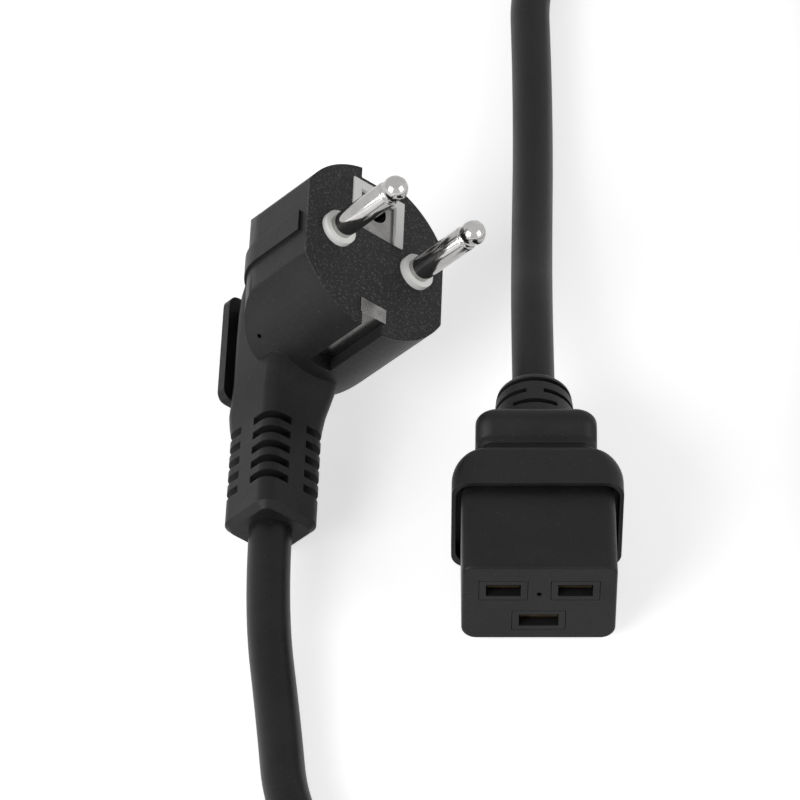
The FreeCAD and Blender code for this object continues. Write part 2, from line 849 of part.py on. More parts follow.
def plug_core(name):
    """Return one insulated core from its crimp down to the cord."""
    tab_start_y = notch_depth - 1 + strap_thickness
    starts = {
        "line": Vector(-pin_spacing / 2, pin_shank + plug_crimp_length, 0),
        "neutral": Vector(pin_spacing / 2, pin_shank + plug_crimp_length, 0),
        "earth": Vector(0, tab_start_y + plug_crimp_length, -earth_tab_drop),
    }
    offset_x, offset_y = core_places()[name]
    start = starts[name]
    straight = start + Vector(0, 2.0, 0)
    knee = Vector(start.x * 0.8, start.y + 4.5, start.z - 3.0)
    drop = Vector(offset_x, grip_axis + offset_y, relief_top + 8)
    end = Vector(offset_x, grip_axis + offset_y, relief_bottom)
    path = [start, straight, knee, drop, end]
    insulation, _, _ = tube(path, core_diameter, core_sides)
    conductor = cylinder(
        conductor_diameter / 2,
        start - Vector(0, plug_crimp_length, 0),
        start + Vector(0, conductor_bared, 0),
    )
    return insulation.fuse(conductor).removeSplitter()


def plug_overmould(inner_pieces):
    """Return the plug's soft moulding around its inner pieces."""
    body = plug_head().fuse(plug_grip())
    body = body.fuse(ladder_relief())
    body = body.fuse(pull_plate())
    body = body.fuse(side_rib())
    gate = Vector(*gate_place)
    inward = Vector(-gate.x, 0, -gate.z)
    inward.normalize()
    body = body.cut(cylinder(gate_diameter / 2, gate - inward, gate + inward * gate_depth))
    half_notch = notch_width / 2
    body = body.cut(box(
        -half_notch, half_notch, -1, notch_depth, notch_floor, head_radius + 1
    ))
    half_notch = lower_notch_width / 2
    body = body.cut(box(
        -half_notch, half_notch, -1, notch_depth, -head_radius - 1, -notch_floor
    ))
    body = body.cut(earth_opening(0))
    bore_start = Vector(0, -1, earth_rise)
    bore_end = Vector(0, strap_set_back + sleeve_length, earth_rise)
    body = body.cut(cylinder(sleeve_bore / 2 + sleeve_wall, bore_start, bore_end))
    for piece in inner_pieces:
        body = body.cut(piece)
    return body


def plug_pieces():
    """Return every piece of the plug by node name, in the plug's own frame."""
    pieces = {
        "pin_bridge": pin_bridge(),
        "pin_line": pin(-pin_spacing / 2),
        "pin_neutral": pin(pin_spacing / 2),
        "earth_strap": earth_strap(),
        "earth_sleeve": earth_sleeve(),
        "plug_core_line": plug_core("line"),
        "plug_core_neutral": plug_core("neutral"),
        "plug_core_earth": plug_core("earth"),
    }
    pieces["plug_overmould"] = plug_overmould(list(pieces.values()))
    return pieces


def plug_rotation():
    """Return the turn that lays the plug down with its pins pointing up."""
    steps = [
        FreeCAD.Rotation(Vector(1, 0, 0), -90),
        FreeCAD.Rotation(Vector(0, 1, 0), 90 - plug_rise),
        FreeCAD.Rotation(Vector(1, 0, 0), plug_descent),
        FreeCAD.Rotation(Vector(0, 0, 1), -plug_yaw),
    ]
    turn = FreeCAD.Rotation()
    for step in steps:
        turn = step.multiply(turn)
    return turn


def plug_placement():
    """Return the placement that rests the plug on its finger plate and relief."""
    turn = plug_rotation()
    feet = ladder_relief().fuse(pull_plate())
    feet.Placement = FreeCAD.Placement(Vector(0, 0, 0), turn)
    lowest = feet.optimalBoundingBox().ZMin
    return FreeCAD.Placement(Vector(*plug_place, -lowest), turn)


def cord_route(placement):
    """Return the points of the cord from the connector round to the plug.

    It runs straight back from the connector, sinks to the floor, turns once
    round to the right, comes forward past the connector and turns back to
    the plug.
    """
    lying = cord_diameter / 2
    plug_exit = placement.multVec(Vector(0, grip_axis, relief_bottom))
    plug_axis = placement.Rotation.multVec(Vector(0, 0, -1))
    floor_points = [
        (1.0, 100.4), (0.6, 126.4), (0.2, 151.9), (9.0, 167.9), (24.6, 177.4),
        (43.0, 177.6), (58.8, 168.4), (67.6, 152.4), (67.2, 122.4),
        (64.6, 70.4), (59.6, 16.4), (56.2, -33.6), (53.0, -65.6),
        (45.4, -83.4), (29.6, -95.6), (7.0, -99.6), (-16.4, -96.8),
        (-33.4, -85.8), (-42.4, -69.0), (-44.6, -47.6),
    ]
    return [
        Vector(0, exit_y, axis_z),
        Vector(0, exit_y + 2.4 * cord_diameter, axis_z),
        Vector(0.5, exit_y + 5.4 * cord_diameter, axis_z - 5.0),
        *[Vector(x, y, lying) for x, y in floor_points],
        plug_exit + plug_axis * 2.2 * cord_diameter,
        plug_exit,
    ]


def cord(placement):
    """Return the cord's outer tube and report its bends."""
    points = cord_route(placement)
    solid, radii, length = tube(points, cord_diameter, cord_sides)
    expected = math.pi * cord_diameter ** 2 / 4 * length
    print(f"cord length {length:.1f} volume ratio {solid.Volume / expected:.4f}")
    print("cord bend radii " + " ".join(f"{radius:.0f}" for radius in radii))
    return solid


def main():
    """Build every node and write it as its own STEP file."""
    os.makedirs("parts", exist_ok=True)
    nodes = connector_pieces()
    placement = plug_placement()
    for name, shape in plug_pieces().items():
        shape.Placement = placement
        nodes[name] = shape
    nodes["cord"] = cord(placement)
    for name, shape in nodes.items():
        solids = len(shape.Solids)
        box_ = shape.BoundBox
        print(f"{name}: valid {shape.isValid()} solids {solids} volume {shape.Volume:.1f} "
              f"x {box_.XMin:.2f}..{box_.XMax:.2f} y {box_.YMin:.2f}..{box_.YMax:.2f} "
              f"z {box_.ZMin:.2f}..{box_.ZMax:.2f}")
        shape.exportStep(f"parts/{name}.step")


main()
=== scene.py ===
"""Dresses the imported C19 cord set and lays its cord.

The scene holds the camera, the studio, the one free cord, and the finishes of
every moulded, plated and drawn piece.
"""

from __future__ import annotations

import json
import logging
import math
from dataclasses import dataclass
from enum import Enum
from typing import Any

import bmesh
import bpy
from mathutils import Matrix, Vector

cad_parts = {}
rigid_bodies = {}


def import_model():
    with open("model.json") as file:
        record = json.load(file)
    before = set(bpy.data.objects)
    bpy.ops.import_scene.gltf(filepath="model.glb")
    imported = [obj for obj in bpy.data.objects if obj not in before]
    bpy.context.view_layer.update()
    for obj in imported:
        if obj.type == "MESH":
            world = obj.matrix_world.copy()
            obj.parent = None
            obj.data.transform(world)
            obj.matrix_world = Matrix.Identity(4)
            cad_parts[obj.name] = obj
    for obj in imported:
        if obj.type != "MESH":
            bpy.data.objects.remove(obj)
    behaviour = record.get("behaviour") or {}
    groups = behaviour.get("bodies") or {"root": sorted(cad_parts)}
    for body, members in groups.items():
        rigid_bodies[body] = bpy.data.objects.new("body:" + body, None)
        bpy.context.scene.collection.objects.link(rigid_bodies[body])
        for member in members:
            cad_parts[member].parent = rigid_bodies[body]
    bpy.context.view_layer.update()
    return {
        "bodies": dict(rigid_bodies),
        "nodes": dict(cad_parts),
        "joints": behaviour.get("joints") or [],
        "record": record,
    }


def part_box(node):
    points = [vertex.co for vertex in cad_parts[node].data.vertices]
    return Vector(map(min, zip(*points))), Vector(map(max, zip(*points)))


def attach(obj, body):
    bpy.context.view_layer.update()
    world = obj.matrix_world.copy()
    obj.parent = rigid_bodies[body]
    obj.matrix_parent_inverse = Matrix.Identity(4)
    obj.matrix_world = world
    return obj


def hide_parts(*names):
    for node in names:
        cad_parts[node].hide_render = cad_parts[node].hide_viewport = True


LOG = logging.getLogger("cord_set")
BODY = "root"
MM = 0.001
Colour = tuple[float, float, float]


# ---- objects and meshes -----------------------------------------------------
def put(name: str, data: bpy.types.ID) -> bpy.types.Object:
    """Make an object and link it to the scene.

    Args:
        name: The object's name.
        data: Its mesh, curve, lamp or camera.

    Returns:
        The new object.
    """
    made = bpy.data.objects.new(name, data)
    bpy.context.scene.collection.objects.link(made)
    return made


def shade(shape: bmesh.types.BMesh, sharp: float) -> None:
    """Shade a shape as smooth, apart from its sharp edges.

    Args:
        shape: The shape.
        sharp: The angle in degrees from which an edge stays sharp.
    """
    limit = math.radians(sharp)
    for face in shape.faces:
        face.smooth = True
    for edge in shape.edges:
        edge.smooth = len(edge.link_faces) == 2 and edge.calc_face_angle(0.0) < limit


def piece_from(
    shape: bmesh.types.BMesh, name: str, finish: bpy.types.Material
) -> bpy.types.Object:
    """Make a piece from a finished shape, which is freed.

    Args:
        shape: The shape.
        name: The piece's name.
        finish: Its only material.

    Returns:
        The new piece.
    """
    mesh = bpy.data.meshes.new(name)
    shape.to_mesh(mesh)
    shape.free()
    mesh.materials.append(finish)
    return put(name, mesh)


def mounted(frame: dict[str, Any], name: str) -> tuple[Vector, Vector]:
    """Return the place and the direction of one of the part's mounts."""
    mount = next(entry for entry in frame["record"]["mounts"] if entry["name"] == name)
    return Vector(mount["pos_m"]), Vector(mount["axis"]).normalized()


# ---- shader maths -----------------------------------------------------------
# A Mix node has sockets for numbers, vectors and colours. These are the colour's.
MIX_FACTOR, MIX_FIRST, MIX_SECOND, MIX_RESULT = 0, 6, 7, 2


def wants_alpha(socket: bpy.types.NodeSocket) -> bool:
    """Return whether a socket takes a colour."""
    return socket.type == "RGBA"


def rgba(value: Any) -> Any:
    """Return a three-part colour with an alpha, and anything else unchanged."""
    if isinstance(value, tuple) and len(value) == 3:
        return (*value, 1.0)
    return value


class Link:
    """A shader socket that Python's operators turn into Math nodes."""

    def __init__(self, recipe: Recipe, socket: bpy.types.NodeSocket | None) -> None:
        """Wrap one output socket.

        Args:
            recipe: The recipe that owns the nodes.
            socket: The output socket.
        """
        self.recipe = recipe
        self.socket = socket

    def _maths(self, operation: str, first: Any, second: Any) -> Link:
        """Return a Math node's result."""
        return self.recipe.node(
            "ShaderNodeMath", {"operation": operation}, {0: first, 1: second}
        )

    def __add__(self, other: Any) -> Link:
        """Return self + other."""
        return self._maths("ADD", self, other)

    __radd__ = __add__

    def __sub__(self, other: Any) -> Link:
        """Return self - other."""
        return self._maths("SUBTRACT", self, other)

    def __rsub__(self, other: Any) -> Link:
        """Return other - self."""
        return self._maths("SUBTRACT", other, self)

    def __mul__(self, other: Any) -> Link:
        """Return self * other."""
        return self._maths("MULTIPLY", self, other)

    __rmul__ = __mul__

    def above(self, level: float) -> Link:
        """Return 1 where self is over level, and 0 elsewhere."""
        return self._maths("GREATER_THAN", self, level)

    def least(self, other: Any) -> Link:
        """Return the smaller of self and other."""
        return self._maths("MINIMUM", self, other)


class Recipe:
    """Nodes for one node tree, built from sockets and values."""

    def __init__(self, tree: bpy.types.NodeTree) -> None:
        """Take the tree that gets the nodes.

        Args:
            tree: The tree, which keeps the nodes that it has.
        """
        self.tree = tree

    def node(
        self,
        kind: str,
        settings: dict[str, Any] | None = None,
        inputs: dict[Any, Any] | None = None,
        output: Any = 0,
    ) -> Link:
        """Add a node and return one of its outputs.

        Args:
            kind: The node's type name.
            settings: Properties set before the inputs.
            inputs: Values or links by socket name or index.
            output: Name or index of the output to return.

        Returns:
            The wrapped output socket, which is empty for a node with no outputs.
        """
        made = self.tree.nodes.new(kind)
        for key, value in (settings or {}).items():
            setattr(made, key, value)
        for key, value in (inputs or {}).items():
            socket = made.inputs[key]
            if isinstance(value, Link):
                self.tree.links.new(value.socket, socket)
            else:
                socket.default_value = rgba(value) if wants_alpha(socket) else value
        return Link(self, made.outputs[output] if made.outputs else None)

    def place(self) -> Link:
        """Return the object coordinates."""
        return self.node("ShaderNodeTexCoord", output="Object")

    def noise(self, scale: float, detail: float, roughness: float) -> Link:
        """Return a noise value on object coordinates.

        Args:
            scale: Features per metre.
            detail: Octaves of the noise.
            roughness: Weight of the finer octaves.

        Returns:
            The noise value from 0 to 1.
        """
        return self.node(
            "ShaderNodeTexNoise",
            inputs={
                "Vector": self.place(),
                "Scale": scale,
                "Detail": detail,
                "Roughness": roughness,
            },
        )

    def mix(self, factor: Any, first: Any, second: Any) -> Link:
        """Return a colour between two colours."""
        return self.node(
            "ShaderNodeMix",
            {"data_type": "RGBA"},
            {MIX_FACTOR: factor, MIX_FIRST: first, MIX_SECOND: second},
            output=MIX_RESULT,
        )

    def ramp(self, value: Link, low: float, high: float) -> Link:
        """Return value stretched so that low gives 0 and high gives 1."""
        return self.node(
            "ShaderNodeMapRange",
            {"interpolation_type": "SMOOTHSTEP"},
            {"Value": value, "From Min": low, "From Max": high},
        )

    def bump(self, height: Link, strength: float, depth: float, normal: Link) -> Link:
        """Return a normal bent by a height.

        Args:
            height: The height from 0 to 1.
            strength: The node's strength.
            depth: The height's size in metres.
            normal: The normal to bend.

        Returns:
            The new normal.
        """
        return self.node(
            "ShaderNodeBump",
            inputs={
                "Strength": strength,
                "Distance": depth,
                "Height": height,
                "Normal": normal,
            },
        )


class Finish(Recipe):
    """The nodes of one new material."""

    bevel_samples = 4

    def __init__(self, name: str) -> None:
        """Start an empty material.

        Args:
            name: The material's name.
        """
        self.material = bpy.data.materials.new(name)
        self.material.use_nodes = True
        super().__init__(self.material.node_tree)
        self.tree.nodes.clear()

    def rounded(self, radius: float) -> Link:
        """Return the normal of a surface whose edges are worn to a radius."""
        return self.node("ShaderNodeBevel", {"samples": self.bevel_samples}, {"Radius": radius})

    def close(self, **sockets: Any) -> bpy.types.Material:
        """End the material with a Principled shader.

        Args:
            **sockets: Values or links by socket name, with _ for a space.

        Returns:
            The finished material.
        """
        inputs = {name.replace("_", " "): value for name, value in sockets.items()}
        shader = self.node("ShaderNodeBsdfPrincipled", inputs=inputs)
        self.node("ShaderNodeOutputMaterial", inputs={"Surface": shader})
        return self.material


# ---- finishes ---------------------------------------------------------------
class Grain(Enum):
    """Surfaces that a mould leaves on plastic, by bump depth in metres."""

    SATIN = 0.00008
    EXTRUDED = 0.000008
    SPARK = 0.00024
    SMOOTH = 0.000004


@dataclass(frozen=True)
class Pattern:
    """A noise: its features per metre, its octaves and the finer ones' weight."""

    scale: float
    detail: float
    weight: float = 0.6

    def on(self, recipe: Recipe) -> Link:
        """Return the pattern's value from 0 to 1."""
        return recipe.noise(self.scale, self.detail, self.weight)


CLOUDS = Pattern(90.0, 5.0)
HANDLING = Pattern(420.0, 6.0, 0.7)
DUST = Pattern(2600.0, 2.0)
FINE_GRAIN = Pattern(4200.0, 2.0)
COARSE_GRAIN = Pattern(1500.0, 3.0)
SPARK_PITS = Pattern(1900.0, 4.0, 0.75)
PLATE_CLOUDS = Pattern(350.0, 4.0)
PLATE_RUBS = Pattern(1800.0, 5.0, 0.7)


@dataclass(frozen=True)
class Moulding:
    """A moulded plastic finish: its tone drifts, and it has dust and a grain."""

    name: str
    colour: Colour
    lift: Colour
    roughness: float
    grain: Grain
    gloss: float = 0.25
    edge: float = 0.00012
    drift: tuple[float, float] = (0.35, 0.65)
    cloud_rough: float = 0.16
    handled_rough: float = 0.14
    dust_level: float = 0.7
    dust_share: float = 0.6
    dust_tone: float = 0.05
    coarse_share: float = 0.7
    grain_strength: float = 0.7

    def clouded(self, recipe: Recipe, cloud: Link) -> Link:
        """Return the colour, which drifts between the finish's two."""
        return recipe.mix(recipe.ramp(cloud, *self.drift), self.colour, self.lift)

    def dusted(self, recipe: Recipe, colour: Link, dust: Link) -> Link:
        """Return a colour that is lighter where the dust lies."""
        pale = tuple(part + self.dust_tone for part in self.lift)
        return recipe.mix(dust * self.dust_share, colour, pale)

    def worn(self, cloud: Link, handled: Link) -> Link:
        """Return the roughness, which drifts and is rubbed by handling."""
        clouded = self.roughness + (cloud - 0.5) * self.cloud_rough
        return clouded + (handled - 0.5) * self.handled_rough

    def grained(self, recipe: Recipe) -> Link:
        """Return the height of the mould's fine grain."""
        return FINE_GRAIN.on(recipe) + COARSE_GRAIN.on(recipe) * self.coarse_share

    def material(self) -> bpy.types.Material:
        """Make the node material.

        Returns:
            The finished material.
        """
        recipe = Finish(self.name)
        cloud = CLOUDS.on(recipe)
        dust = DUST.on(recipe).above(self.dust_level)
        colour = self.dusted(recipe, self.clouded(recipe, cloud), dust)
        rough = self.worn(cloud, HANDLING.on(recipe))
        normal = recipe.bump(
            self.grained(recipe), self.grain_strength, self.grain.value,
            recipe.rounded(self.edge),
        )
        return recipe.close(
            Base_Color=colour, Roughness=rough, Normal=normal, Specular_IOR_Level=self.gloss
        )


@dataclass(frozen=True)
class FacedMoulding(Moulding):
    """A moulded finish with a rougher spark texture on one flat face, whose pits get painted
    glints.
    """

    axis: tuple[float, float, float] = (0.0, 0.0, 1.0)
    level: float = 0.0
    face_depth: float = 0.0006
    face_blend: float = 0.0003
    face_rough: float = 0.05
    # The painted glints on the face's pits: their ramp, share, gain and added tone.
    glint: tuple[float, float] = (0.54, 0.62)
    glint_share: float = 0.9
    glint_gain: float = 4.0
    glint_tone: float = 0.04
    fine_share: float = 0.33
    pit_strength: float = 0.8

    def faced(self, recipe: Recipe) -> Link:
        """Return 1 on the flat face and 0 elsewhere.

        Args:
            recipe: The recipe that gets the nodes.

        Returns:
            The mask.
        """
        height = recipe.node(
            "ShaderNodeVectorMath",
            {"operation": "DOT_PRODUCT"},
            {0: recipe.place(), 1: self.axis},
            output="Value",
        )
        return recipe.ramp(height - (self.level - self.face_depth), 0.0, self.face_blend)

    def material(self) -> bpy.types.Material:
        """Make the node material.

        Returns:
            The finished material.
        """
        recipe = Finish(self.name)
        face = self.faced(recipe)
        cloud = CLOUDS.on(recipe)
        pits = SPARK_PITS.on(recipe)
        # Painted highlight: the pits on the face get a far lighter colour, standing in for glints
        # of light.
        glint = recipe.ramp(pits, *self.glint) * face
        painted_glint_colour = tuple(part * self.glint_gain + self.glint_tone for part in self.lift)
        colour = recipe.mix(glint * self.glint_share, self.clouded(recipe, cloud), painted_glint_colour)
        dust = DUST.on(recipe).above(self.dust_level) * (1 - face)
        rough = self.worn(cloud, HANDLING.on(recipe)) + face * self.face_rough
        fine = self.grained(recipe) * (1 - face) * self.fine_share
        normal = recipe.bump(
            fine + pits * face, self.pit_strength, Grain.SPARK.value,
            recipe.rounded(self.edge),
        )
        return recipe.close(
            Base_Color=self.dusted(recipe, colour, dust), Roughness=rough, Normal=normal,
            Specular_IOR_Level=self.gloss,
        )


@dataclass(frozen=True)
class Plating:
    """A plated metal finish with faint drawing lines and handling marks."""

    name: str
    colour: Colour
    dull: Colour
    roughness: float
    edge: float = 0.0001
    drift: tuple[float, float] = (0.3, 0.7)
    cloud_rough: float = 0.1
    rubs: tuple[float, float] = (0.55, 0.75)
    rubbed_rough: float = 0.12
    line_strength: float = 0.3

    def material(self) -> bpy.types.Material:
        """Make the node material.

        Returns:
            The finished material.
        """
        recipe = Finish(self.name)
        cloud = PLATE_CLOUDS.on(recipe)
        rubbed = PLATE_RUBS.on(recipe)
        colour = recipe.mix(recipe.ramp(cloud, *self.drift), self.colour, self.dull)
        clouded = self.roughness + (cloud - 0.5) * self.cloud_rough
        rough = clouded + recipe.ramp(rubbed, *self.rubs) * self.rubbed_rough
        normal = recipe.bump(
            rubbed, self.line_strength, Grain.SMOOTH.value, recipe.rounded(self.edge)
        )
        return recipe.close(
            Base_Color=colour, Metallic=1.0, Roughness=rough, Normal=normal
        )


MOULDING_BLACK = Moulding(
    "moulding black", (0.0085, 0.0085, 0.009), (0.0125, 0.0125, 0.013),
    roughness=0.42, grain=Grain.SATIN, gloss=0.17, edge=0.0002,
)
FINISHES: dict[str, Moulding | Plating] = {
    "moulding_black": MOULDING_BLACK,
    "block_black": Moulding(
        "block black", (0.008, 0.008, 0.0084), (0.0115, 0.0115, 0.012),
        roughness=0.4, grain=Grain.SATIN, gloss=0.16, edge=0.00015,
    ),
    "carrier_black": Moulding(
        "carrier black", (0.0095, 0.0095, 0.0099), (0.013, 0.013, 0.0135),
        roughness=0.42, grain=Grain.SATIN, gloss=0.16, edge=0.00006,
    ),
    "insert_white": Moulding(
        "insert white", (0.86, 0.86, 0.84), (0.9, 0.9, 0.88),
        roughness=0.34, grain=Grain.SMOOTH, gloss=0.45, edge=0.00015,
    ),
    "core_brown": Moulding(
        "core brown", (0.16, 0.07, 0.03), (0.19, 0.08, 0.04),
        roughness=0.45, grain=Grain.SMOOTH,
    ),
    "core_blue": Moulding(
        "core blue", (0.05, 0.16, 0.5), (0.06, 0.19, 0.55),
        roughness=0.45, grain=Grain.SMOOTH,
    ),
    "core_green_yellow": Moulding(
        "core green", (0.3, 0.5, 0.08), (0.4, 0.55, 0.1),
        roughness=0.45, grain=Grain.SMOOTH,
    ),
    "pin_nickel": Plating(
        "pin nickel", (0.48, 0.472, 0.462), (0.4, 0.393, 0.385), roughness=0.1
    ),
    "strap_nickel": Plating(
        "strap nickel", (0.25, 0.246, 0.24), (0.17, 0.168, 0.164), roughness=0.2
    ),
    # Painted shade: the brass is far darker than real brass, so the contacts deep in the slots
    # read black.
    "contact_brass": Plating(
        "contact brass painted shade", (0.2, 0.15, 0.08), (0.14, 0.1, 0.06), roughness=0.42
    ),
}


# ---- studio -----------------------------------------------------------------
@dataclass
class Studio:
    """The floor, the lamps and the camera, in metres and degrees."""

    elevation: float = 46.0
    distance: float = 0.909
    lens_mm: float = 225.0
    sensor_mm: float = 36.0
    aim_left: float = 0.0251
    aim_above: float = 0.0434
    backdrop: Colour = (1.0, 1.0, 1.0)
    unlit: Colour = (0.0, 0.0, 0.0)
    floor_colour: Colour = (0.86, 0.86, 0.86)
    floor_rough: float = 0.8
    floor_gloss: float = 0.2
    floor_glow: float = 0.6
    floor_reach: float = 6.0
    floor_drop: float = 0.0001
    sight: float = 20.0
    lamp_side: float = 0.8
    key_place: tuple[float, float, float] = (-0.8, -0.75, 0.5)
    key_watts: float = 13.0
    fill_place: tuple[float, float, float] = (0.95, -0.55, 0.45)
    fill_watts: float = 5.5
    lit_place: tuple[float, float, float] = (0.0, 0.03, 0.0)
    sky: float = 0.2

    def camera(self, face: Vector) -> None:
        """Place the camera.

        Args:
            face: The lower edge of the connector's face, at its middle.
        """
        turn = math.radians(self.elevation)
        ahead = Vector((0, math.cos(turn), -math.sin(turn)))
        upward = Vector((0, math.sin(turn), math.cos(turn)))
        data = bpy.data.cameras.new("camera")
        data.sensor_width = self.sensor_mm
        data.lens = self.lens_mm
        data.clip_end = self.sight
        camera = put("camera", data)
        aim = face + upward * self.aim_above - Vector((self.aim_left, 0, 0))
        camera.location = aim - ahead * self.distance
        camera.rotation_euler = (math.radians(90.0 - self.elevation), 0, 0)
        bpy.context.scene.camera = camera

    def seen_as_white(self, recipe: Recipe) -> Link:
        """Return a factor that is 1 for the rays that look at the backdrop.

        Args:
            recipe: The recipe that gets the nodes.

        Returns:
            The factor.
        """
        seen = recipe.node("ShaderNodeLightPath", output="Is Camera Ray")
        mirrored = recipe.node("ShaderNodeLightPath", output="Is Glossy Ray")
        through = recipe.node("ShaderNodeLightPath", output="Is Transmission Ray")
        return (seen + mirrored + through).least(1.0)

    def floor(self) -> None:
        """Make the pale floor."""
        mesh = bpy.data.meshes.new("floor")
        shape = bmesh.new()
        bmesh.ops.create_grid(shape, x_segments=1, y_segments=1, size=self.floor_reach)
        shape.to_mesh(mesh)
        shape.free()
        recipe = Finish("pale floor")
        glow = recipe.mix(self.seen_as_white(recipe), self.unlit, self.backdrop)
        mesh.materials.append(recipe.close(
            Base_Color=self.floor_colour,
            Roughness=self.floor_rough,
            Specular_IOR_Level=self.floor_gloss,
            Emission_Color=glow,
            Emission_Strength=self.floor_glow,
        ))
        floor = put("floor", mesh)
        floor.location = (0, 0, -self.floor_drop)

    def lamp(self, name: str, place: Vector, aim: Vector, power: float) -> None:
        """Add a square soft lamp.

        Args:
            name: The lamp's name.
            place: Where it hangs.
            aim: What it points at.
            power: Its power in watts.
        """
        data = bpy.data.lights.new(name, "AREA")
        data.size = self.lamp_side
        data.energy = power
        lamp = put(name, data)
        lamp.location = place
        lamp.rotation_euler = (aim - place).to_track_quat("-Z", "Y").to_euler()

    def lights(self) -> None:
        """Hang the lamps and set the world."""
        middle = Vector(self.lit_place)
        self.lamp("key", middle + Vector(self.key_place), middle, self.key_watts)
        self.lamp("fill", middle + Vector(self.fill_place), middle, self.fill_watts)
        world = bpy.data.worlds.new("studio")
        world.use_nodes = True
        tree = world.node_tree
        background = tree.nodes["Background"]
        background.inputs["Color"].default_value = rgba(self.backdrop)
        seen = self.seen_as_white(Recipe(tree))
        strength = seen * (1.0 - self.sky) + self.sky
        tree.links.new(strength.socket, background.inputs["Strength"])
        bpy.context.scene.world = world
        bpy.context.scene.view_settings.view_transform = "Standard"


# ---- the cord ---------------------------------------------------------------
@dataclass
class Cord:
    """The free cord from the connector round to the plug, in millimetres.

    It runs straight out of each relief, and sinks to the floor behind the connector.
    The two straight lengths and sink_reach count in diameters.
    """

    diameter: float = 8.0
    exit_y: float = 26.2
    axis_z: float = 11.4
    connector_straight: float = 2.4
    plug_straight: float = 2.2
    sink_reach: float = 5.4
    sink_side: float = 0.5
    sink_depth: float = 5.0
    round_steps: int = 10
    run_steps: int = 16
    plug_exit: tuple[float, float, float] = (-48.913, -5.661, 8.233)
    plug_axis: tuple[float, float, float] = (-0.03464, -0.99194, -0.12187)
    floor_points: tuple[tuple[float, float], ...] = (
        (1.4, 100.4), (1.6, 126.4), (1.4, 151.9), (9.6, 167.9), (24.6, 177.4),
        (43.0, 177.6), (58.8, 168.4), (67.6, 152.4), (67.2, 122.4),
        (64.6, 70.4), (59.6, 16.4), (56.2, -33.6), (53.0, -65.6),
        (45.4, -83.4), (29.6, -95.6), (7.0, -99.6), (-16.4, -96.8),
        (-35.6, -86.2), (-45.0, -69.0), (-46.8, -47.6),
    )

    def route(self) -> list[Vector]:
        """Work out the cord's control points.

        Returns:
            The points in metres, from the connector to the plug.
        """
        lying = self.diameter / 2
        straight = self.exit_y + self.connector_straight * self.diameter
        sinking = self.exit_y + self.sink_reach * self.diameter
        end = Vector(self.plug_exit)
        points = [
            Vector((0, self.exit_y, self.axis_z)),
            Vector((0, straight, self.axis_z)),
            Vector((self.sink_side, sinking, self.axis_z - self.sink_depth)),
            *[Vector((x, y, lying)) for x, y in self.floor_points],
            end + Vector(self.plug_axis) * self.plug_straight * self.diameter,
            end,
        ]
        return [point * MM for point in points]

    def build(self, far_pieces: list[bpy.types.Object]) -> bpy.types.Object:
        """Lay the cord.

        Args:
            far_pieces: The plug's nodes, which lie on the cord's end; not used.

        Returns:
            The cord's curve.
        """
        points = self.route()
        curve = bpy.data.curves.new("mains_cord", "CURVE")
        curve.dimensions = "3D"
        curve.bevel_depth = self.diameter / 2 * MM
        curve.bevel_resolution = self.round_steps
        curve.resolution_u = self.run_steps
        curve.use_fill_caps = True
        spline = curve.splines.new("NURBS")
        spline.points.add(len(points) - 1)
        for target, point in zip(spline.points, points):
            target.co = (*point, 1.0)
        spline.order_u = 3
        spline.use_endpoint_u = True
        curve.materials.append(self.jacket())
        cord = put("mains_cord", curve)
        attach(cord, BODY)
        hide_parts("cord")
        LOG.info("laid %s", cord.name)
        return cord

    def jacket(self) -> bpy.types.Material:
        """Return the extruded jacket's finish."""
        return Moulding(
            "cord jacket", (0.008, 0.008, 0.0085), (0.012, 0.012, 0.0125),
            roughness=0.4, grain=Grain.EXTRUDED, gloss=0.16,
        ).material()


